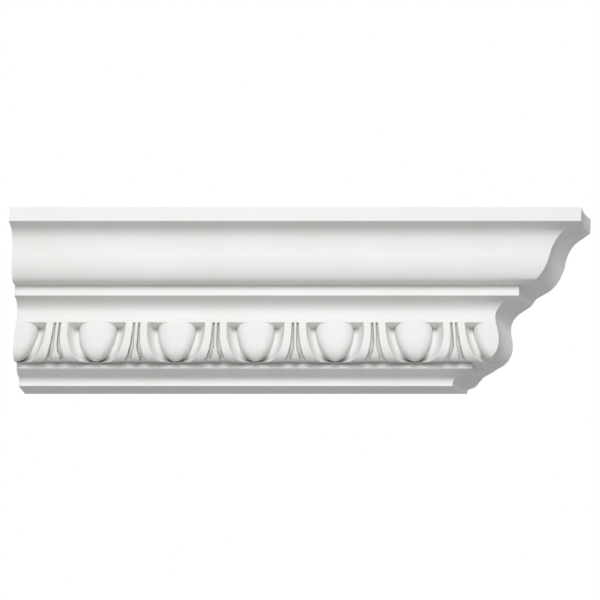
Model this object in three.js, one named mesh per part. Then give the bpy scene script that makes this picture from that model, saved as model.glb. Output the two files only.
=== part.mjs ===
// Crown (cornice) moulding section with an egg-and-dart band, cast as one thin-walled piece.
// Millimetres. +X runs along the wall, +Y points at the wall and +Z is up.
// The origin is the middle of the land that bears on the wall.
// The left end is cut square. The right end is cut to an outside mitre, so it is longest at the top.
//
// The profile is drawn in a plane of its own. Its first number is how far a point stands out
// from the front top edge (negative is nearer the wall), and its second is the height above it.
import * as THREE from 'three';

// Length, measured along the bottom front edge, and the cut at the right end
const BOTTOM_LENGTH = 434;
const MITRE_ANGLE = 45;
const END_SKEW = 0.6; // how far the end wall runs sideways for each millimetre that it runs back

// Top fillet, with the land that bears on the ceiling
const TOP_FILLET_HEIGHT = 15;
const TOP_FILLET_LEAN = 1.9;
const TOP_SOFFIT = 8.5;
const CEILING_LAND = 22.1;

// Cyma recta: a hollow above and a round below
const HOLLOW_WIDTH = 19.2;
const HOLLOW_HEIGHT = 21.1;
const ROUND_WIDTH = 17.5;
const ROUND_HEIGHT = 21;
const HOLLOW_HANDLES = [[0.52, 0], [0.86, 0.57]]; // as shares of the hollow's width and height
const ROUND_HANDLES = [[0.12, 0.36], [0.5, 1]];
const QUARTER_ROUND = [[0.55, 0], [1, 0.45]]; // handles of the cavetto and the cove

// Quirk, small fillet and cavetto
const QUIRK_DEPTH = 9.9;
const QUIRK_RISE = 2.4;
const SMALL_FILLET_HEIGHT = 11.2;
const SMALL_FILLET_LEAN = 0.9;
const SMALL_SOFFIT_DEPTH = 7.4;
const SMALL_SOFFIT_RISE = 1.5;
const CAVETTO_RADIUS = 14;
const CAVETTO_SKIRT = 5.7;

// Ovolo that carries the egg and dart, with the soffit under it
const OVOLO_HEIGHT = 37.6;
const OVOLO_RETURN = 11.5;
const OVOLO_BROW = [1.8, 0.3]; // each handle: how far it stands out, and its share of the height
const OVOLO_CHEEK = [4.9, 0.93];
const SOFFIT_DEPTH = 11.5;
const SOFFIT_RISE = 3.9;

// Bead, ogee, cove and fillet at the foot
const BEAD_FLAT = 3.8;
const BEAD_LEAN = 0.4;
const BEAD_ROUND = 1.9;
const BEAD_RETURN = 1.4;
const BEAD_HANDLES = [[0, 0.7], [0.5, 1]];
const OGEE_DEPTH = 6.7;
const OGEE_HEIGHT = 2.6;
const FOOT_SOFFIT = 4.5;
const COVE_RADIUS = 5.5;
const FOOT_FILLET_HEIGHT = 2.3;

// Body behind the face
const THICKEST = 36; // measured back from the face, level, below the ceiling land
const WALL_THICKNESS = 30.8; // and at the foot
const BACK_RISE = 6.2; // how much higher the back lies than the face it follows
const BACK_EASE = 7; // rounds the back over this distance along the profile, at the top
const BACK_EASE_FOOT = 16; // and at the foot
const BACK_EASE_POWER = 3; // how late along the profile the rounding grows
const BLEND_HEIGHT = 36; // from the ceiling land's thickness to the full one
const WALL_LAND = 9;

// Egg and dart. Distances from the top are measured down the carved face, and each "above foot"
// distance is measured back up it from the bead.
const PITCH = 78.6;
const FIRST_EGG = 1.6; // from the square end to the middle of the first egg
const EGG_HALF_WIDTH = 18.7;
const EGG_WIDEST = 4;
const EGG_CROWN = 14; // height of the egg above its widest line, before the cavetto cuts it
const EGG_ABOVE_FOOT = 9.5;
const EGG_FULLNESS = 3; // 2 would give the egg an elliptical section
const EGG_TAPER = [2, 0.66]; // powers that draw an outline in to its tip
const HUSK_INNER = 28.6; // half width of the husk round the egg, inside
const HUSK_OUTER = 35.6; // and outside
const HUSK_INNER_ABOVE_FOOT = 5;
const HUSK_OUTER_ABOVE_FOOT = 1;
const HUSK_INNER_TAPER = [3, 0.67];
const HUSK_OUTER_TAPER = [3, 0.38];
const GROOVE_TOP = 14.5; // depth of the groove round the egg, at its top
const GROOVE_LOW = 12.5; // and low down
const GROOVE_ABOVE_FOOT = 16;
const GROOVE_STEEPNESS = 2.6; // how steeply its floor rises to the husk
const DART_STEM = 1.4; // half width of the dart's stem
const DART_BARB = 5.6; // half width of its head
const DART_NECK = 24;
const DART_FLARE = 2;
const DART_RIDGE = 0.12; // how far its edges fall back, as a share of the ground's depth
const BARB_ABOVE_FOOT = 16.5;
const DART_ABOVE_FOOT = 4.5;
const DART_SINK = 0.3; // how far the dart lies behind the husks
const GROUND_TOP = 4.5; // depth of the ground beside the dart, at its top
const GROUND_LOW = 6.5; // beside its barbs
const GROUND_FOOT = 1.5; // and at the bead
const GROUND_RISE = 0.7; // share of its depth that the ground loses towards the husk, at its top
const CARVING_TURN = 45; // the carving is cut level at the top and turns up by this angle below

// How finely the surfaces are divided
const CURVE_STEPS = 7;
const BAND_ROWS = [0.005, 0.07, 0.15, 0.25, 0.35, 0.45, 0.54, 0.61, 0.67, 0.72, 0.76, 0.81, 0.86, 0.92, 0.98];
const EGG_COLUMNS = [0, 0.45, 0.72, 0.88, 0.97, 1];
const GROOVE_COLUMNS = [0.35, 0.7];
const END_MARGIN = 0.4; // no column stands closer than this to an end
const EDGE_FOOT = 0.5; // the foot of a steep edge stands this far out from it
const MIN_EGG = 1.8; // near their tips the columns keep these distances
const MIN_GROOVE = 1.5;
const MIN_HUSK = 2;
const MIN_DART = 0.8;
const END_SEARCH = 0.25; // first step of the search for the cut end, halved this many times
const END_HALVINGS = 20;
const BACK_SAMPLES = 9;

const PLASTER_WHITE = new THREE.MeshStandardMaterial({ color: 0xeeeeec, roughness: 0.75, metalness: 0 });

const clamp = THREE.MathUtils.clamp;
const radians = THREE.MathUtils.degToRad;

// The pen draws one stretch after another, each given by its own width and height.
class Pen {
  constructor() {
    this.at = new THREE.Vector2(0, 0);
    this.points = [this.at.clone()];
  }

  line(out, up) {
    this.at = this.at.clone().add(new THREE.Vector2(out, up));
    this.points.push(this.at);
  }

  // A curve whose two handles are given as shares of its width and height.
  curve(out, up, first, second) {
    const start = this.at;
    const end = start.clone().add(new THREE.Vector2(out, up));
    const handle = ([across, along]) => new THREE.Vector2(start.x + across * out, start.y + along * up);
    const bezier = new THREE.CubicBezierCurve(start, handle(first), handle(second), end);
    this.points.push(...bezier.getPoints(CURVE_STEPS).slice(1));
    this.at = end;
  }
}

// The face above the egg-and-dart band, from the ceiling down.
function upperFace(pen) {
  pen.line(-TOP_FILLET_LEAN, -TOP_FILLET_HEIGHT);
  pen.line(-TOP_SOFFIT, 0);
  pen.curve(-HOLLOW_WIDTH, -HOLLOW_HEIGHT, ...HOLLOW_HANDLES);
  pen.curve(-ROUND_WIDTH, -ROUND_HEIGHT, ...ROUND_HANDLES);
  pen.line(-QUIRK_DEPTH, QUIRK_RISE);
  pen.line(-SMALL_FILLET_LEAN, -SMALL_FILLET_HEIGHT);
  pen.line(-SMALL_SOFFIT_DEPTH, SMALL_SOFFIT_RISE);
  pen.curve(-CAVETTO_RADIUS, -CAVETTO_RADIUS, ...QUARTER_ROUND);
  pen.line(0, -CAVETTO_SKIRT);
}

// The face of the ovolo and the soffit under it, before anything is carved.
function bandCurve(start) {
  const turn = new THREE.Vector2(start.x - OVOLO_RETURN, start.y - OVOLO_HEIGHT);
  const end = new THREE.Vector2(turn.x - SOFFIT_DEPTH, turn.y + SOFFIT_RISE);
  const handle = ([out, share]) => new THREE.Vector2(start.x + out, start.y - share * OVOLO_HEIGHT);
  const band = new THREE.CurvePath();
  band.add(new THREE.CubicBezierCurve(start, handle(OVOLO_BROW), handle(OVOLO_CHEEK), turn));
  band.add(new THREE.LineCurve(turn, end));
  return band;
}

// The face below the band, down to the bottom front edge.
function lowerFace(pen) {
  pen.line(-BEAD_LEAN, -BEAD_FLAT);
  pen.curve(-BEAD_RETURN, -BEAD_ROUND, ...BEAD_HANDLES);
  pen.line(-OGEE_DEPTH, -OGEE_HEIGHT);
  pen.line(-FOOT_SOFFIT, 0);
  pen.curve(-COVE_RADIUS, -COVE_RADIUS, ...QUARTER_ROUND);
  pen.line(0, -FOOT_FILLET_HEIGHT);
}

const upper = new Pen();
upperFace(upper);
const band = bandCurve(upper.at);
const bandLength = band.getLength();
const eggTip = bandLength - EGG_ABOVE_FOOT;
const huskInnerEnd = bandLength - HUSK_INNER_ABOVE_FOOT;
const huskOuterEnd = bandLength - HUSK_OUTER_ABOVE_FOOT;
const grooveDeepest = bandLength - GROOVE_ABOVE_FOOT;
const barbAt = bandLength - BARB_ABOVE_FOOT;
const dartTip = bandLength - DART_ABOVE_FOOT;
const lower = new Pen();
lower.at = band.getPoint(1);
lower.points = [lower.at];
lowerFace(lower);

const bottom = lower.at;
const wallLine = bottom.x - WALL_THICKNESS;
const landMiddle = bottom.y + BACK_RISE + WALL_LAND / 2;
const mitreSlope = Math.tan(radians(MITRE_ANGLE));
const mitreX = (out) => BOTTOM_LENGTH + (out - bottom.x) * mitreSlope;
const landMiddleX = (BOTTOM_LENGTH + END_SKEW * WALL_THICKNESS) / 2;

// How wide an outline still is, as a share, on its way down to its tip
function taper(share, [fullness, bluntness]) {
  return (1 - clamp(share, 0, 1) ** fullness) ** bluntness;
}

// Half widths of the egg, its husk and the dart, at a distance down the face
function eggHalfWidth(down) {
  if (down < EGG_WIDEST) {
    return EGG_HALF_WIDTH * Math.sqrt(1 - ((EGG_WIDEST - down) / EGG_CROWN) ** 2);
  }
  return EGG_HALF_WIDTH * taper((down - EGG_WIDEST) / (eggTip - EGG_WIDEST), EGG_TAPER);
}

function huskInside(down) {
  return HUSK_INNER * taper(down / huskInnerEnd, HUSK_INNER_TAPER);
}

function huskOutside(down) {
  return HUSK_OUTER * taper(down / huskOuterEnd, HUSK_OUTER_TAPER);
}

function dartHalfWidth(down) {
  if (down < DART_NECK) {
    return DART_STEM;
  }
  if (down < barbAt) {
    return DART_STEM + (DART_BARB - DART_STEM) * ((down - DART_NECK) / (barbAt - DART_NECK)) ** DART_FLARE;
  }
  return DART_BARB * clamp((dartTip - down) / (dartTip - barbAt), 0, 1);
}

// Depth of the groove between the egg and its husk
function grooveDepth(down) {
  if (down < grooveDeepest) {
    return GROOVE_TOP + (GROOVE_LOW - GROOVE_TOP) * (down / grooveDeepest);
  }
  const share = clamp((down - grooveDeepest) / (huskInnerEnd - grooveDeepest), 0, 1);
  return GROOVE_LOW * Math.sqrt(1 - share ** 2);
}

// Depth of the ground beside the dart: it deepens down to the barbs and runs out at the bead.
function groundDepth(down) {
  if (down < barbAt) {
    return GROUND_TOP + (GROUND_LOW - GROUND_TOP) * (down / barbAt);
  }
  const share = clamp((down - barbAt) / (bandLength - barbAt), 0, 1);
  return GROUND_LOW + (GROUND_FOOT - GROUND_LOW) * share;
}

// Depth of the carving below the ovolo, at a place along the length and a distance down the face
function carvedDepth(x, down) {
  const fromEgg = Math.abs(THREE.MathUtils.euclideanModulo(x - FIRST_EGG + PITCH / 2, PITCH) - PITCH / 2);
  const egg = eggHalfWidth(down);
  const inside = huskInside(down);
  const outside = huskOutside(down);
  if (fromEgg < egg) {
    return grooveDepth(down) * (1 - (1 - (fromEgg / egg) ** EGG_FULLNESS) ** (1 / EGG_FULLNESS));
  }
  if (fromEgg < inside) {
    const share = (inside - fromEgg) / (inside - egg);
    return grooveDepth(down) * (1 - (1 - share) ** GROOVE_STEEPNESS);
  }
  if (fromEgg <= outside) {
    return 0;
  }
  const fromDart = PITCH / 2 - fromEgg;
  const dart = dartHalfWidth(down);
  const ground = groundDepth(down);
  if (fromDart < dart) {
    return DART_SINK + (fromDart / dart) * DART_RIDGE * (ground - DART_SINK);
  }
  const rise = GROUND_RISE * (1 - clamp(down / barbAt, 0, 1));
  return ground * (1 - (rise * (fromDart - dart)) / (PITCH / 2 - outside - dart));
}

// A point of the carved band. The carving is cut level at the top and turns to cut upward below.
function bandPoint(x, down) {
  const face = band.getPoint(clamp(down / bandLength, 0, 1));
  const turned = Math.PI - (radians(CARVING_TURN) * down) / bandLength;
  const depth = carvedDepth(x, down);
  return new THREE.Vector2(face.x + Math.cos(turned) * depth, face.y + Math.sin(turned) * depth);
}

// Where the mitre cuts the band: the furthest place that still lies on the carved face
function bandEnd(down) {
  const beyond = (x) => x - mitreX(bandPoint(x, down).x);
  let x = mitreX(band.getPoint(clamp(down / bandLength, 0, 1)).x);
  while (beyond(x) > 0) {
    x -= END_SEARCH;
  }
  let inside = x;
  let outside = x + END_SEARCH;
  for (let halving = 0; halving < END_HALVINGS; halving += 1) {
    const middle = (inside + outside) / 2;
    if (beyond(middle) > 0) {
      outside = middle;
    } else {
      inside = middle;
    }
  }
  return inside;
}

// Distances of the columns from the middle of an egg, so that each edge of the carving has one
function columnsFromEgg(down) {
  const egg = Math.max(eggHalfWidth(down), MIN_EGG);
  const inside = Math.max(huskInside(down), egg + MIN_GROOVE);
  const outside = Math.max(huskOutside(down), inside + MIN_HUSK);
  const dart = PITCH / 2 - Math.max(dartHalfWidth(down), MIN_DART);
  const eggs = EGG_COLUMNS.map((share) => share * egg);
  const grooves = GROOVE_COLUMNS.map((share) => egg + share * (inside - egg));
  const foot = Math.min(outside + EDGE_FOOT, (outside + dart) / 2);
  const beside = Math.max(dart - EDGE_FOOT, (foot + dart) / 2);
  return [...eggs, ...grooves, inside, outside, foot, beside, dart];
}

// All columns of one row, with a running number that neighbouring rows share
function rowColumns(down, end) {
  const half = columnsFromEgg(down);
  const perEgg = 2 * half.length;
  const columns = [];
  for (let egg = 0; FIRST_EGG + (egg - 0.5) * PITCH < end; egg += 1) {
    const middle = FIRST_EGG + egg * PITCH;
    half.slice(1).forEach((distance, index) => {
      columns.push({ x: middle - distance, key: egg * perEgg - index - 1 });
      columns.push({ x: middle + distance, key: egg * perEgg + index + 1 });
    });
    columns.push({ x: middle, key: egg * perEgg });
    columns.push({ x: middle + PITCH / 2, key: egg * perEgg + half.length });
  }
  const inside = columns.filter((column) => column.x > END_MARGIN && column.x < end - END_MARGIN);
  inside.sort((a, b) => a.key - b.key);
  const first = { x: 0, key: inside[0].key - 0.5 };
  const last = { x: end, key: inside[inside.length - 1].key + 0.5 };
  return [first, ...inside, last];
}

// Rows of vertices, each running from the square end to the mitre
function plainRow(point, end = mitreX(point.x)) {
  return [
    { x: 0, key: -Infinity, point },
    { x: end, key: Infinity, point },
  ];
}

function carvedRow(down) {
  return rowColumns(down, bandEnd(down)).map((column) => ({ ...column, point: bandPoint(column.x, down) }));
}

// A straight row whose columns stand opposite those of a carved row
function matchingRow(point, down) {
  return rowColumns(down, mitreX(point.x)).map((column) => ({ ...column, point }));
}

// The back follows the face, eased, and bears on the wall at its foot. Each of its points comes
// with the place where the end wall meets it.
function backPoints(face) {
  const along = [0];
  for (let index = 1; index < face.length; index += 1) {
    along.push(along[index - 1] + face[index].distanceTo(face[index - 1]));
  }
  const total = along[along.length - 1];
  const at = (distance) => {
    const next = Math.max(1, along.findIndex((value) => value >= distance));
    const share = (distance - along[next - 1]) / (along[next] - along[next - 1]);
    return face[next - 1].clone().lerp(face[next], share);
  };
  return along.map((distance, index) => {
    const ease = BACK_EASE + (BACK_EASE_FOOT - BACK_EASE) * (distance / total) ** BACK_EASE_POWER;
    const reach = Math.min(ease, distance, total - distance);
    const eased = new THREE.Vector2();
    for (let sample = 0; sample < BACK_SAMPLES; sample += 1) {
      const offset = reach * ((2 * sample) / (BACK_SAMPLES - 1) - 1);
      eased.add(at(distance + offset).divideScalar(BACK_SAMPLES));
    }
    const blend = clamp(-face[index].y / BLEND_HEIGHT, 0, 1);
    const below = clamp((-face[index].y - BLEND_HEIGHT) / (-bottom.y - BLEND_HEIGHT), 0, 1);
    const thickened = CEILING_LAND + (THICKEST - CEILING_LAND) * blend;
    const thickness = thickened + (WALL_THICKNESS - THICKEST) * below;
    const end = mitreX(eased.x) + END_SKEW * thickness;
    const point = new THREE.Vector2(eased.x - thickness, eased.y + BACK_RISE * blend);
    if (point.y < bottom.y + BACK_RISE + WALL_LAND) {
      point.x = wallLine;
    }
    return { point, end };
  });
}

// Rows in order round the section: down the face, then up the back
function sectionRows() {
  const bandTop = upper.at;
  const bandRows = BAND_ROWS.map((share) => share * bandLength);
  const lastRow = bandRows[bandRows.length - 1];
  const bandFace = bandRows.map((down) => band.getPoint(down / bandLength));
  const face = [...upper.points, ...bandFace, ...lower.points];
  const faceRows = [
    ...upper.points.slice(0, -1).map((point) => plainRow(point)),
    matchingRow(bandTop, bandRows[0]),
    ...bandRows.map(carvedRow),
    matchingRow(lower.points[0], lastRow),
    ...lower.points.slice(1).map((point) => plainRow(point)),
  ];
  const backRows = backPoints(face).map(({ point, end }) => plainRow(point, end));
  return { faceRows, backRows };
}

// Vertices and triangles of the closed body
class Body {
  constructor() {
    this.positions = [];
    this.triangles = [];
  }

  addRow(row) {
    return row.map((vertex) => {
      this.positions.push(vertex.x - landMiddleX, wallLine - vertex.point.x, vertex.point.y - landMiddle);
      return { key: vertex.key, index: this.positions.length / 3 - 1, point: vertex.point };
    });
  }

  // Fills the strip between two rows, going along both in the order of their columns
  strip(rowA, rowB) {
    let a = 0;
    let b = 0;
    while (a < rowA.length - 1 || b < rowB.length - 1) {
      const nextA = a < rowA.length - 1 ? rowA[a + 1].key : Infinity;
      const nextB = b < rowB.length - 1 ? rowB[b + 1].key : Infinity;
      const advanceA = b === rowB.length - 1 || (a < rowA.length - 1 && nextA <= nextB);
      if (advanceA) {
        this.triangles.push([rowA[a].index, rowB[b].index, rowA[a + 1].index]);
        a += 1;
      } else {
        this.triangles.push([rowA[a].index, rowB[b].index, rowB[b + 1].index]);
        b += 1;
      }
    }
  }

  // The square end is flat, so its outline is filled in its own plane.
  squareEnd(rows) {
    const outline = rows.map((row) => row[0]);
    const faces = THREE.ShapeUtils.triangulateShape(outline.map((vertex) => vertex.point), []);
    const area = THREE.ShapeUtils.area(outline.map((vertex) => vertex.point));
    faces.forEach((face) => {
      const corners = face.map((corner) => outline[corner]);
      const sameTurn = THREE.ShapeUtils.area(corners.map((corner) => corner.point)) * area > 0;
      const indices = corners.map((corner) => corner.index);
      this.triangles.push(sameTurn ? indices.reverse() : indices);
    });
  }

  // The mitred end is a wall of straight lines from the face to the back.
  mitredEnd(faceRows, backRows) {
    const face = faceRows.map((row) => row[row.length - 1].index);
    const back = backRows.map((row) => row[row.length - 1].index);
    for (let index = 0; index < face.length - 1; index += 1) {
      this.triangles.push([face[index], face[index + 1], back[index + 1]]);
      this.triangles.push([face[index], back[index + 1], back[index]]);
    }
  }

  geometry() {
    const geometry = new THREE.BufferGeometry();
    geometry.setAttribute('position', new THREE.Float32BufferAttribute(this.positions, 3));
    geometry.setIndex(this.triangles.flat());
    geometry.computeVertexNormals();
    return geometry;
  }
}

function mouldingGeometry() {
  const { faceRows, backRows } = sectionRows();
  const body = new Body();
  const face = faceRows.map((row) => body.addRow(row));
  const back = backRows.map((row) => body.addRow(row));
  const round = [...face, ...back.slice().reverse()];
  round.forEach((row, index) => body.strip(row, round[(index + 1) % round.length]));
  body.squareEnd(round);
  body.mitredEnd(face, back);
  return body.geometry();
}

const group = new THREE.Group();
const moulding = new THREE.Mesh(mouldingGeometry(), PLASTER_WHITE);
moulding.name = 'moulding';
group.add(moulding);

export default group;
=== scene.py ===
import math

import bpy
import numpy as np
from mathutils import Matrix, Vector


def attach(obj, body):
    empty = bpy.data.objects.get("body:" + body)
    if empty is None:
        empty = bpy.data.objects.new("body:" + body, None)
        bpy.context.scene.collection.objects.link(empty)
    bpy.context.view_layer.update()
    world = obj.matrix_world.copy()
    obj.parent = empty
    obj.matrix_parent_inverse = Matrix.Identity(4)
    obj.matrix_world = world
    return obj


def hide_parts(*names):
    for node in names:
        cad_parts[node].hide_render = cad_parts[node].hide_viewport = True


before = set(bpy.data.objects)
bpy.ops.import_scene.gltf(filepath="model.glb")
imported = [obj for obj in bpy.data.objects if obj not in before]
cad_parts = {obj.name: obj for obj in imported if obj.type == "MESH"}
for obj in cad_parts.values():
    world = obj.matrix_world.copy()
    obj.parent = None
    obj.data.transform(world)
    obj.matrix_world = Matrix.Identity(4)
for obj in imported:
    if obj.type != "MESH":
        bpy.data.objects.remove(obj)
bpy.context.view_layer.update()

# Lengths below are millimetres. The profile's first number is how far a point stands out from
# the front top edge, negative nearer the wall, and its second is the height above that edge.
MM = 0.001

# Length along the bottom front edge, and the cut at the right end
BOTTOM_LENGTH = 434.0
END_SKEW = 0.6
END_SCOOP = 0.35

# Members of the face, from the ceiling down
TOP_FILLET_HEIGHT = 15.0
TOP_FILLET_LEAN = 1.9
TOP_SOFFIT = 8.5
CEILING_LAND = 22.1
HOLLOW_WIDTH = 19.2
HOLLOW_HEIGHT = 21.1
ROUND_WIDTH = 17.5
ROUND_HEIGHT = 21.0
HOLLOW_HANDLES = ((0.52, 0), (0.86, 0.57))
ROUND_HANDLES = ((0.12, 0.36), (0.5, 1))
QUARTER_ROUND = ((0.55, 0), (1, 0.45))
QUIRK_DEPTH = 9.9
QUIRK_RISE = 2.4
SMALL_FILLET_HEIGHT = 11.2
SMALL_FILLET_LEAN = 0.9
SMALL_SOFFIT_DEPTH = 7.4
SMALL_SOFFIT_RISE = 1.5
CAVETTO_RADIUS = 14.0
CAVETTO_SKIRT = 5.7
OVOLO_HEIGHT = 37.6
OVOLO_RETURN = 11.5
OVOLO_BROW = (1.8, 0.3)
OVOLO_CHEEK = (4.9, 0.93)
SOFFIT_DEPTH = 11.5
SOFFIT_RISE = 3.9
BEAD_FLAT = 3.8
BEAD_LEAN = 0.4
BEAD_ROUND = 1.9
BEAD_RETURN = 1.4
BEAD_HANDLES = ((0, 0.7), (0.5, 1))
OGEE_DEPTH = 6.7
OGEE_HEIGHT = 2.6
FOOT_SOFFIT = 4.5
COVE_RADIUS = 5.5
FOOT_FILLET_HEIGHT = 2.3

# Body behind the face
THICKEST = 36.0
WALL_THICKNESS = 30.8
BACK_RISE = 6.2
BACK_EASE = 7.0
BACK_EASE_FOOT = 16.0
BACK_EASE_POWER = 3
BLEND_HEIGHT = 36.0
WALL_LAND = 9.0

# Egg and dart. Distances from the top are measured down the carved face, and each "above foot"
# distance is measured back up it from the bead.
PITCH = 78.6
FIRST_EGG = 1.6
EGG_HALF_WIDTH = 18.7
EGG_WIDEST = 4.0
EGG_CROWN = 14.0
EGG_ABOVE_FOOT = 9.5
EGG_FULLNESS = 3
EGG_TAPER = (2, 0.66)
HUSK_INNER = 28.6
HUSK_OUTER = 35.6
HUSK_INNER_ABOVE_FOOT = 5.0
HUSK_OUTER_ABOVE_FOOT = 1.0
HUSK_INNER_TAPER = (3, 0.67)
HUSK_OUTER_TAPER = (3, 0.38)
GROOVE_TOP = 14.5
GROOVE_LOW = 12.5
GROOVE_ABOVE_FOOT = 16.0
GROOVE_STEEPNESS = 2.6
DART_STEM = 1.4
DART_BARB = 5.6
DART_NECK = 24.0
DART_FLARE = 2
DART_RIDGE = 0.12
BARB_ABOVE_FOOT = 16.5
DART_ABOVE_FOOT = 4.5
DART_SINK = 0.3
GROUND_TOP = 4.5
GROUND_LOW = 6.5
GROUND_FOOT = 1.5
GROUND_RISE = 0.7
CARVING_TURN = 45.0

# Small roundings of a cast edge. An arris takes at most a share of each side of its corner, and
# a corner with a cosine below the limit is nearly straight and stays as it is.
ARRIS = 0.55
ARRIS_STEPS = 4
ARRIS_SHARE = 0.4
ARRIS_LIMIT = -0.93
LIP_EASE = 0.5
HUSK_EASE = 0.7
HUSK_EASE_DEPTH = 0.3

# Fineness of the lines along the face
CURVE_STEPS = 20
BAND_CURVE_STEPS = 300
BAND_SOFFIT_STEPS = 60
BEAD_STEPS = 6
COVE_STEPS = 10
BACK_EASE_SAMPLES = 9
PLAIN_COLUMNS = 14
PLAIN_KEYS = 1e6
END_ROWS = 7
SHARP_ANGLE = 35.0

# Rows of the carving: close together under its top edge, then even down to near the bead
LIP_ROWS = (0.04, 0.12, 0.25, 0.4, 0.6, 0.9, 1.3, 1.8)
FIRST_EVEN_ROW = 2.4
LAST_ROW = 0.98
EVEN_ROWS = 88

# Columns of the carving, by the stretch that they divide. Where an outline closes towards its
# tip, the columns keep the least widths. The walls are the steps beside a husk and a dart.
EGG_COLUMNS = 19
EGG_CROWDING = 2.5
GROOVE_COLUMNS = 11
HUSK_COLUMNS = (0.04, 0.1, 0.3, 0.7, 0.9, 0.96, 1)
GROUND_COLUMNS = 6
DART_COLUMNS = 5
LEAST_EGG = 1.2
LEAST_GROOVE = 1.5
LEAST_HUSK = 2.0
LEAST_DART = 0.6
HUSK_WALL = 0.45
DART_WALL = 0.3
END_MARGIN = 0.3

# Search for the end of a carved row at the mitre, and the least size of a divisor
MITRE_SEARCH = 60.0
MITRE_STEP = 0.02
MITRE_SLACK = 1e-9
TINY = 1e-6

# Camera, in millimetres and degrees: one millimetre at the bottom front edge is one pixel wide
CAMERA_DISTANCE = 1285.0
CAMERA_TILT = 30.0
CAMERA_RISE = 86.0
SQUARE_END_TO_CENTRE = 281.4
FRAME_WIDTH = 600.0
SENSOR_WIDTH = 36.0
CLIP_START = 10.0

# Studio, in metres and watts. Each stop of a ramp is a position and a colour.
FLOOR_HEIGHT = -0.95
FLOOR_SIZE = 5.0
FLOOR_COLOUR = (0.64, 0.64, 0.63, 1)
FLOOR_ROUGHNESS = 0.9
ROOM = (0.35, (0.17, 0.17, 0.17, 1))
BACKDROP = (0.6, (1.0, 1.0, 1.0, 1))
KEY_PLACE = (0.0, -2.3, 0.22)
KEY_AIM = (0.0, -0.07, 0.05)
KEY_SIZE = 1.2
KEY_POWER = 41.5

# Paint. A noise's scale counts its waves to a metre, and a bump's distance is in metres.
MOTTLE = {"Scale": 14.0, "Detail": 6.0, "Roughness": 0.55}
PEEL = {"Scale": 1400.0, "Detail": 2.0, "Roughness": 0.5}
SAG = {"Scale": 38.0, "Detail": 3.0, "Roughness": 0.5}
PEEL_BUMP = {"Strength": 0.12, "Distance": 0.00008}
SAG_BUMP = {"Strength": 0.10, "Distance": 0.0006}
PAINT_SURFACE = {"Metallic": 0.0, "IOR": 1.46, "Specular IOR Level": 0.35}
PAINT_ROUGHNESS = {"To Min": 0.58, "To Max": 0.72}
PAINT_SHADE = (0.3, (0.79, 0.79, 0.775, 1))
PAINT_LIGHT = (0.75, (0.83, 0.83, 0.82, 1))
# Painted shade: the colour is darkened towards the first stop where ambient occlusion within this
# reach finds the casting close by, in crevices and hollows.
PAINTED_SHADE_REACH = 0.007
PAINTED_SHADE_CLOSED = (0.2, (0.64, 0.64, 0.63, 1))
PAINTED_SHADE_OPEN = (0.6, (1, 1, 1, 1))


def turned(points, first, second, out, up, steps):
    """Adds a cubic curve to the points, its handles given as shares of its width and height."""
    start = np.array(points[-1])
    size = np.array([out, up])
    handles = [start, start + size * first, start + size * second, start + size]
    for step in range(1, steps + 1):
        t = step / steps
        weights = [(1 - t) ** 3, 3 * t * (1 - t) ** 2, 3 * t * t * (1 - t), t ** 3]
        points.append(sum(w * h for w, h in zip(weights, handles)))


def straight(points, out, up):
    points.append(np.array(points[-1]) + (out, up))


def upper_face():
    points = [np.zeros(2)]
    straight(points, -TOP_FILLET_LEAN, -TOP_FILLET_HEIGHT)
    straight(points, -TOP_SOFFIT, 0)
    turned(points, *HOLLOW_HANDLES, -HOLLOW_WIDTH, -HOLLOW_HEIGHT, CURVE_STEPS)
    turned(points, *ROUND_HANDLES, -ROUND_WIDTH, -ROUND_HEIGHT, CURVE_STEPS)
    straight(points, -QUIRK_DEPTH, QUIRK_RISE)
    straight(points, -SMALL_FILLET_LEAN, -SMALL_FILLET_HEIGHT)
    straight(points, -SMALL_SOFFIT_DEPTH, SMALL_SOFFIT_RISE)
    turned(points, *QUARTER_ROUND, -CAVETTO_RADIUS, -CAVETTO_RADIUS, CURVE_STEPS)
    straight(points, 0, -CAVETTO_SKIRT)
    return points


def band_curve(start):
    """The uncarved ovolo and its soffit, as dense points and their distances down the face."""
    points = [start]
    brow, cheek = ((out / -OVOLO_RETURN, share) for out, share in (OVOLO_BROW, OVOLO_CHEEK))
    turned(points, brow, cheek, -OVOLO_RETURN, -OVOLO_HEIGHT, BAND_CURVE_STEPS)
    for _ in range(BAND_SOFFIT_STEPS):
        straight(points, -SOFFIT_DEPTH / BAND_SOFFIT_STEPS, SOFFIT_RISE / BAND_SOFFIT_STEPS)
    points = np.array(points)
    steps = np.hypot(*np.diff(points, axis=0).T)
    return points, np.concatenate([[0], np.cumsum(steps)])


def lower_face(start):
    points = [start]
    straight(points, -BEAD_LEAN, -BEAD_FLAT)
    turned(points, *BEAD_HANDLES, -BEAD_RETURN, -BEAD_ROUND, BEAD_STEPS)
    straight(points, -OGEE_DEPTH, -OGEE_HEIGHT)
    straight(points, -FOOT_SOFFIT, 0)
    turned(points, *QUARTER_ROUND, -COVE_RADIUS, -COVE_RADIUS, COVE_STEPS)
    straight(points, 0, -FOOT_FILLET_HEIGHT)
    return points


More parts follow.
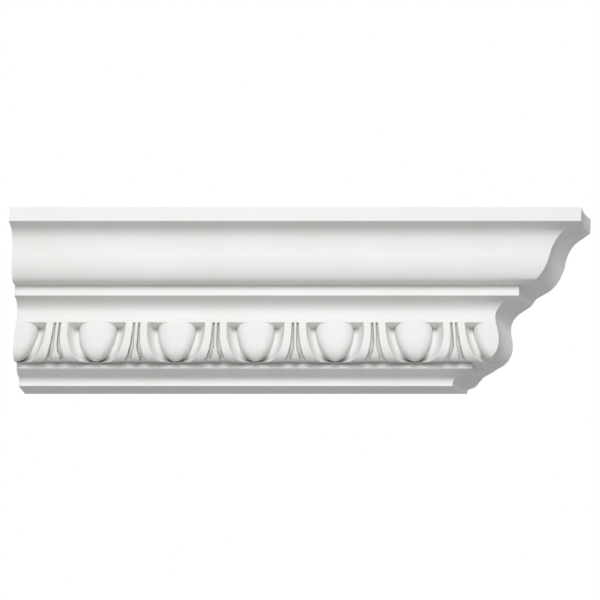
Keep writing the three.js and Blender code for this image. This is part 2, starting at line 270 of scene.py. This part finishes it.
UPPER = upper_face()
BAND, BAND_DOWN = band_curve(UPPER[-1])
LOWER = lower_face(BAND[-1])
BAND_LENGTH = BAND_DOWN[-1]
EGG_TIP = BAND_LENGTH - EGG_ABOVE_FOOT
HUSK_INNER_END = BAND_LENGTH - HUSK_INNER_ABOVE_FOOT
HUSK_OUTER_END = BAND_LENGTH - HUSK_OUTER_ABOVE_FOOT
GROOVE_DEEPEST = BAND_LENGTH - GROOVE_ABOVE_FOOT
BARB_AT = BAND_LENGTH - BARB_ABOVE_FOOT
DART_TIP = BAND_LENGTH - DART_ABOVE_FOOT
BOTTOM = LOWER[-1]
WALL_LINE = BOTTOM[0] - WALL_THICKNESS
LAND_MIDDLE = BOTTOM[1] + BACK_RISE + WALL_LAND / 2
LAND_MIDDLE_X = (BOTTOM_LENGTH + END_SKEW * WALL_THICKNESS) / 2


def mitre_x(out):
    """The place along the length where the mitre cuts a point that stands out this far."""
    return BOTTOM_LENGTH + out - BOTTOM[0]


def softened(points):
    """Rounds each sharp corner of an open line with a small arris."""
    soft = [points[0]]
    for before, corner, after in zip(points, points[1:], points[2:]):
        back = before - corner
        ahead = after - corner
        reach = min(ARRIS, ARRIS_SHARE * np.hypot(*back), ARRIS_SHARE * np.hypot(*ahead))
        back = back / np.hypot(*back)
        ahead = ahead / np.hypot(*ahead)
        if np.dot(back, ahead) < ARRIS_LIMIT:
            soft.append(corner)
            continue
        for step in range(ARRIS_STEPS + 1):
            t = step / ARRIS_STEPS
            soft.append(corner + reach * ((1 - t) ** 2 * back + t ** 2 * ahead))
    soft.append(points[-1])
    return soft


def taper(share, powers):
    """How wide an outline still is, as a share, on its way down to its tip."""
    fullness, bluntness = powers
    return (1 - min(1.0, share) ** fullness) ** bluntness


# Outlines of the egg, its husk and the dart, as half widths at a distance down the face
def egg_half_width(down):
    if down < EGG_WIDEST:
        return EGG_HALF_WIDTH * math.sqrt(1 - ((EGG_WIDEST - down) / EGG_CROWN) ** 2)
    return EGG_HALF_WIDTH * taper((down - EGG_WIDEST) / (EGG_TIP - EGG_WIDEST), EGG_TAPER)


def husk_inside(down):
    return HUSK_INNER * taper(down / HUSK_INNER_END, HUSK_INNER_TAPER)


def husk_outside(down):
    return HUSK_OUTER * taper(down / HUSK_OUTER_END, HUSK_OUTER_TAPER)


def dart_half_width(down):
    if down < DART_NECK:
        return DART_STEM
    if down < BARB_AT:
        share = (down - DART_NECK) / (BARB_AT - DART_NECK)
        return DART_STEM + (DART_BARB - DART_STEM) * share ** DART_FLARE
    return DART_BARB * max(0.0, (DART_TIP - down) / (DART_TIP - BARB_AT))


def groove_depth(down):
    if down < GROOVE_DEEPEST:
        return GROOVE_TOP + (GROOVE_LOW - GROOVE_TOP) * down / GROOVE_DEEPEST
    share = min(1.0, (down - GROOVE_DEEPEST) / (HUSK_INNER_END - GROOVE_DEEPEST))
    return GROOVE_LOW * math.sqrt(1 - share ** 2)


def ground_depth(down):
    if down < BARB_AT:
        return GROUND_TOP + (GROUND_LOW - GROUND_TOP) * down / BARB_AT
    share = (down - BARB_AT) / (BAND_LENGTH - BARB_AT)
    return GROUND_LOW + (GROUND_FOOT - GROUND_LOW) * share


def carved_depth(x, down):
    """Depth of the carving below the ovolo at places x along one row."""
    from_egg = np.abs((x - FIRST_EGG + PITCH / 2) % PITCH - PITCH / 2)
    egg = max(egg_half_width(down), TINY)
    inside = husk_inside(down)
    outside = husk_outside(down)
    groove = groove_depth(down)
    on_egg = groove * (1 - np.clip(1 - (from_egg / egg) ** EGG_FULLNESS, 0, 1) ** (1 / EGG_FULLNESS))
    share = np.clip((inside - from_egg) / max(inside - egg, TINY), 0, 1)
    in_groove = groove * (1 - (1 - share) ** GROOVE_STEEPNESS)
    to_edge = np.minimum(from_egg - inside, outside - from_egg)
    on_husk = HUSK_EASE_DEPTH * np.clip(1 - to_edge / HUSK_EASE, 0, 1) ** 2
    from_dart = PITCH / 2 - from_egg
    dart = max(dart_half_width(down), TINY)
    ground = ground_depth(down)
    rise = GROUND_RISE * (1 - min(1.0, down / BARB_AT))
    on_dart = DART_SINK + from_dart / dart * DART_RIDGE * (ground - DART_SINK)
    gap = max(PITCH / 2 - outside - dart, TINY)
    on_ground = ground * (1 - rise * (from_dart - dart) / gap)
    depth = np.where(from_dart < dart, on_dart, on_ground)
    depth = np.where(from_egg <= outside, on_husk, depth)
    depth = np.where(from_egg < inside, in_groove, depth)
    depth = np.where(from_egg < egg, on_egg, depth)
    lip = min(1.0, down / LIP_EASE)
    return depth * math.sin(lip * math.pi / 2)


def face_at(down):
    return np.array([np.interp(down, BAND_DOWN, line) for line in BAND.T])


def band_points(x, down):
    """Carved points of one row: cut level at the top, and turning to cut upward below."""
    turn = math.pi - math.radians(CARVING_TURN) * down / BAND_LENGTH
    direction = np.array([math.cos(turn), math.sin(turn)])
    return face_at(down) + carved_depth(np.asarray(x), down)[:, None] * direction


def band_end(down):
    """Where the mitre cuts a row: the furthest place that still lies on the carved face."""
    x = mitre_x(face_at(down)[0]) - np.arange(0, MITRE_SEARCH, MITRE_STEP)
    inside = x <= mitre_x(band_points(x, down)[:, 0]) + MITRE_SLACK
    return x[np.argmax(inside)]


def columns_from_egg(down):
    """Distances of the columns from the middle of an egg: every edge of the carving has one."""
    egg = max(egg_half_width(down), LEAST_EGG)
    inside = max(husk_inside(down), egg + LEAST_GROOVE)
    outside = max(husk_outside(down), inside + LEAST_HUSK)
    dart = PITCH / 2 - max(dart_half_width(down), LEAST_DART)
    foot = min(outside + HUSK_WALL, (outside + dart) / 2)
    beside = max(dart - DART_WALL, (foot + dart) / 2)
    eggs = egg * (1 - (1 - np.linspace(0, 1, EGG_COLUMNS)) ** EGG_CROWDING)
    grooves = egg + (inside - egg) * np.linspace(0, 1, GROOVE_COLUMNS)[1:]
    husks = inside + (outside - inside) * np.array(HUSK_COLUMNS)
    grounds = foot + (beside - foot) * np.linspace(0, 1, GROUND_COLUMNS)
    darts = dart + (PITCH / 2 - dart) * np.linspace(0, 1, DART_COLUMNS)[:-1]
    return np.concatenate([eggs, grooves, husks, grounds, darts])


def row_columns(down, end):
    """Places and running numbers of one row's columns, from the square end to the mitre."""
    half = columns_from_egg(down)
    count = len(half)
    eggs = round((end - FIRST_EGG) / PITCH) + 1
    places = []
    keys = []
    for egg in range(eggs):
        middle = FIRST_EGG + egg * PITCH
        places += [middle - half[:0:-1], [middle], middle + half[1:], [middle + PITCH / 2]]
        keys += [2 * egg * count - np.arange(count - 1, 0, -1), [2 * egg * count]]
        keys += [2 * egg * count + np.arange(1, count), [2 * egg * count + count]]
    places = np.concatenate(places)
    keys = np.concatenate(keys).astype(float)
    kept = (places > END_MARGIN) & (places < end - END_MARGIN)
    places = np.concatenate([[0], places[kept], [end]])
    keys = np.concatenate([[keys[kept][0] - 0.5], keys[kept], [keys[kept][-1] + 0.5]])
    return places, keys


def plain_row(point, end):
    """A straight row of a few even columns."""
    places = np.linspace(0, end, PLAIN_COLUMNS)
    keys = np.linspace(-PLAIN_KEYS, PLAIN_KEYS, PLAIN_COLUMNS)
    return places, keys, np.tile(point, (PLAIN_COLUMNS, 1))


def carved_row(down):
    places, keys = row_columns(down, band_end(down))
    return places, keys, band_points(places, down)


def matching_row(point, down):
    """A straight row whose columns stand opposite those of a carved row."""
    places, keys = row_columns(down, mitre_x(point[0]))
    return places, keys, np.tile(point, (len(places), 1))


def back_points(face):
    """Points of the back behind those of the face, and where along the length each one ends.

    The back follows the face, eased, and bears on the wall at its foot.
    """
    face = np.array(face)
    along = np.concatenate([[0], np.cumsum(np.hypot(*np.diff(face, axis=0).T))])
    blend = np.clip(-face[:, 1] / BLEND_HEIGHT, 0, 1)
    below = np.clip((-face[:, 1] - BLEND_HEIGHT) / (-BOTTOM[1] - BLEND_HEIGHT), 0, 1)
    ease = BACK_EASE + (BACK_EASE_FOOT - BACK_EASE) * (along / along[-1]) ** BACK_EASE_POWER
    reach = np.minimum(ease, np.minimum(along, along[-1] - along))
    eased = np.zeros_like(face)
    for offset in np.linspace(-1, 1, BACK_EASE_SAMPLES):
        for axis in (0, 1):
            line = np.interp(along + offset * reach, along, face[:, axis])
            eased[:, axis] += line / BACK_EASE_SAMPLES
    thickness = CEILING_LAND + (THICKEST - CEILING_LAND) * blend + (WALL_THICKNESS - THICKEST) * below
    ends = mitre_x(eased[:, 0]) + END_SKEW * thickness
    back = eased - np.column_stack([thickness, -BACK_RISE * blend])
    on_wall = back[:, 1] < BOTTOM[1] + BACK_RISE + WALL_LAND
    back[on_wall, 0] = WALL_LINE
    return back, ends


class Body:
    """Vertices and faces of the closed casting."""

    def __init__(self):
        self.vertices = []
        self.faces = []

    def add(self, places, points):
        first = len(self.vertices)
        out = (WALL_LINE - points[:, 0]) * MM
        up = (points[:, 1] - LAND_MIDDLE) * MM
        self.vertices += np.column_stack([(places - LAND_MIDDLE_X) * MM, out, up]).tolist()
        return list(range(first, len(self.vertices)))

    def strip(self, row_a, row_b):
        """Fills between two rows, going along both in the order of their columns."""
        (index_a, key_a), (index_b, key_b) = row_a, row_b
        a = 0
        b = 0
        while a < len(key_a) - 1 or b < len(key_b) - 1:
            next_a = key_a[a + 1] if a < len(key_a) - 1 else math.inf
            next_b = key_b[b + 1] if b < len(key_b) - 1 else math.inf
            if next_a == next_b:
                self.faces.append((index_a[a], index_b[b], index_b[b + 1], index_a[a + 1]))
                a += 1
                b += 1
            elif next_a < next_b:
                self.faces.append((index_a[a], index_b[b], index_a[a + 1]))
                a += 1
            else:
                self.faces.append((index_a[a], index_b[b], index_b[b + 1]))
                b += 1


def section_rows():
    """The uncarved face, its rows from the ceiling down, and the row of the back behind each."""
    even_rows = np.linspace(FIRST_EVEN_ROW, LAST_ROW * BAND_LENGTH, EVEN_ROWS)
    downs = np.concatenate([LIP_ROWS, even_rows])
    upper = softened(UPPER)
    lower = softened(LOWER)
    face = upper + [face_at(down) for down in downs] + lower
    rows = [plain_row(point, mitre_x(point[0])) for point in upper[:-1]]
    rows.append(matching_row(upper[-1], downs[0]))
    rows += [carved_row(down) for down in downs]
    rows.append(matching_row(lower[0], downs[-1]))
    rows += [plain_row(point, mitre_x(point[0])) for point in lower[1:]]
    backs = [plain_row(point, end) for point, end in zip(*back_points(face))]
    return face, rows, backs


def moulding_mesh():
    uncarved, rows, backs = section_rows()
    body = Body()
    face = [(body.add(places, points), keys) for places, keys, points in rows]
    back = [(body.add(places, points), keys) for places, keys, points in backs]
    ring = face + back[::-1]
    for rows_in_turn in (face, back[::-1]):
        for row, following in zip(rows_in_turn, rows_in_turn[1:]):
            body.strip(row, following)
    body.faces.append([indices[0] for indices, _ in ring][::-1])
    ends = [[indices[-1] for indices, _ in face]]
    for step in range(1, END_ROWS):
        t = step / END_ROWS
        sideways = t - END_SCOOP / END_SKEW * t * (1 - t)
        row = []
        for base, (front_x, _, front), (back_x, _, behind) in zip(uncarved, rows, backs):
            point = base * (1 - t) + behind[-1] * t + (front[-1] - base) * (1 - t) ** 2
            start = mitre_x(base[0]) + (front_x[-1] - mitre_x(base[0])) * (1 - t)
            place = start * (1 - sideways) + back_x[-1] * sideways
            row += body.add(np.array([place]), point[None, :])
        ends.append(row)
    ends.append([indices[-1] for indices, _ in back])
    for near, far in zip(ends, ends[1:]):
        for index in range(len(near) - 1):
            body.faces.append((near[index], near[index + 1], far[index + 1], far[index]))
    # The ceiling land and the underside of the foot are flat, and take in the end wall's edge.
    body.faces.append(face[0][0] + [row[0] for row in ends][1:-1] + back[0][0][::-1])
    body.faces.append(back[-1][0] + [row[-1] for row in ends][-2:0:-1] + face[-1][0][::-1])
    return body


def set_inputs(node, values):
    for name, value in values.items():
        node.inputs[name].default_value = value


def shader_node(tree, kind, place, **values):
    node = tree.nodes.new(kind)
    node.location = place
    set_inputs(node, values)
    return node


def colour_ramp(tree, place, *stops):
    ramp = shader_node(tree, "ShaderNodeValToRGB", place)
    for element, (position, colour) in zip(ramp.color_ramp.elements, stops):
        element.position = position
        element.color = colour
    return ramp


def white_casting():
    """Matt white primed casting with painted shade: greyer in its crevices where ambient occlusion
    darkens the colour, with a fine orange peel and a slow sag.
    """
    material = bpy.data.materials.new("white_casting")
    material.use_nodes = True
    tree = material.node_tree
    link = tree.links.new
    shader = tree.nodes["Principled BSDF"]
    set_inputs(shader, PAINT_SURFACE)
    place = shader_node(tree, "ShaderNodeTexCoord", (-1200, 0))
    mottle = shader_node(tree, "ShaderNodeTexNoise", (-900, 300), **MOTTLE)
    peel = shader_node(tree, "ShaderNodeTexNoise", (-900, -50), **PEEL)
    sag = shader_node(tree, "ShaderNodeTexNoise", (-900, -400), **SAG)
    for noise in (mottle, peel, sag):
        link(place.outputs["Object"], noise.inputs["Vector"])
    # Painted shade: ambient occlusion darkens the base colour in crevices and recesses, multiplied
    # over the mottled tint.
    painted_shade_occlusion = shader_node(tree, "ShaderNodeAmbientOcclusion", (-900, 600), Distance=PAINTED_SHADE_REACH)
    tint = colour_ramp(tree, (-600, 300), PAINT_SHADE, PAINT_LIGHT)
    painted_shade_ramp = colour_ramp(tree, (-600, 600), PAINTED_SHADE_CLOSED, PAINTED_SHADE_OPEN)
    link(mottle.outputs["Fac"], tint.inputs["Fac"])
    link(painted_shade_occlusion.outputs["AO"], painted_shade_ramp.inputs["Fac"])
    mottle_and_painted_shade = shader_node(tree, "ShaderNodeMixRGB", (-300, 450), Fac=1.0)
    mottle_and_painted_shade.blend_type = "MULTIPLY"
    link(tint.outputs["Color"], mottle_and_painted_shade.inputs["Color1"])
    link(painted_shade_ramp.outputs["Color"], mottle_and_painted_shade.inputs["Color2"])
    link(mottle_and_painted_shade.outputs["Color"], shader.inputs["Base Color"])
    gloss = shader_node(tree, "ShaderNodeMapRange", (-600, 50), **PAINT_ROUGHNESS)
    link(mottle.outputs["Fac"], gloss.inputs["Value"])
    link(gloss.outputs["Result"], shader.inputs["Roughness"])
    slow = shader_node(tree, "ShaderNodeBump", (-300, -400), **SAG_BUMP)
    fine = shader_node(tree, "ShaderNodeBump", (-300, -100), **PEEL_BUMP)
    link(sag.outputs["Fac"], slow.inputs["Height"])
    link(peel.outputs["Fac"], fine.inputs["Height"])
    link(slow.outputs["Normal"], fine.inputs["Normal"])
    link(fine.outputs["Normal"], shader.inputs["Normal"])
    return material


def moulding():
    body = moulding_mesh()
    mesh = bpy.data.meshes.new("moulding_casting")
    mesh.from_pydata(body.vertices, [], body.faces)
    mesh.validate()
    mesh.update()
    mesh.polygons.foreach_set("use_smooth", [True] * len(mesh.polygons))
    mesh.set_sharp_from_angle(angle=math.radians(SHARP_ANGLE))
    piece = bpy.data.objects.new("moulding_casting", mesh)
    bpy.context.collection.objects.link(piece)
    mesh.materials.append(white_casting())
    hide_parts("moulding")
    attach(piece, "root")
    return piece


def floor():
    bpy.ops.mesh.primitive_plane_add(size=FLOOR_SIZE, location=(0, 0, FLOOR_HEIGHT))
    plane = bpy.context.object
    plane.name = "floor"
    material = bpy.data.materials.new("pale_floor")
    material.use_nodes = True
    shader = material.node_tree.nodes["Principled BSDF"]
    set_inputs(shader, {"Base Color": FLOOR_COLOUR, "Roughness": FLOOR_ROUGHNESS})
    plane.data.materials.append(material)


def studio():
    """A dim room with a bright white backdrop behind the moulding."""
    world = bpy.data.worlds.new("studio")
    bpy.context.scene.world = world
    world.use_nodes = True
    tree = world.node_tree
    link = tree.links.new
    background = tree.nodes["Background"]
    place = shader_node(tree, "ShaderNodeTexCoord", (-900, 0))
    split = shader_node(tree, "ShaderNodeSeparateXYZ", (-700, 0))
    ramp = colour_ramp(tree, (-450, 0), ROOM, BACKDROP)
    link(place.outputs["Generated"], split.inputs["Vector"])
    link(split.outputs["Y"], ramp.inputs["Fac"])
    link(ramp.outputs["Color"], background.inputs["Color"])


def soft_light(name, place, aim, size, power):
    light = bpy.data.lights.new(name, "AREA")
    light.shape = "SQUARE"
    light.size = size
    light.energy = power
    lamp = bpy.data.objects.new(name, light)
    bpy.context.collection.objects.link(lamp)
    lamp.location = place
    lamp.rotation_euler = (Vector(aim) - Vector(place)).to_track_quat("-Z", "Y").to_euler()


def camera():
    """Looks up from below at the photograph's angle, centred on the length."""
    data = bpy.data.cameras.new("camera")
    data.sensor_width = SENSOR_WIDTH
    data.lens = SENSOR_WIDTH * CAMERA_DISTANCE / FRAME_WIDTH
    data.clip_start = CLIP_START * MM
    tilt = math.radians(CAMERA_TILT)
    out = CAMERA_DISTANCE * math.cos(tilt) + CAMERA_RISE * math.sin(tilt)
    up = CAMERA_RISE * math.cos(tilt) - CAMERA_DISTANCE * math.sin(tilt)
    eye = bpy.data.objects.new("camera", data)
    bpy.context.collection.objects.link(eye)
    eye.location = (
        (SQUARE_END_TO_CENTRE - LAND_MIDDLE_X) * MM,
        -(out + WALL_THICKNESS) * MM,
        (up + BOTTOM[1] - LAND_MIDDLE) * MM,
    )
    eye.rotation_euler = (math.radians(90) + tilt, 0, 0)
    bpy.context.scene.camera = eye


moulding()
floor()
studio()
soft_light("key", KEY_PLACE, KEY_AIM, KEY_SIZE, KEY_POWER)
camera()
bpy.context.scene.view_settings.view_transform = "Standard"
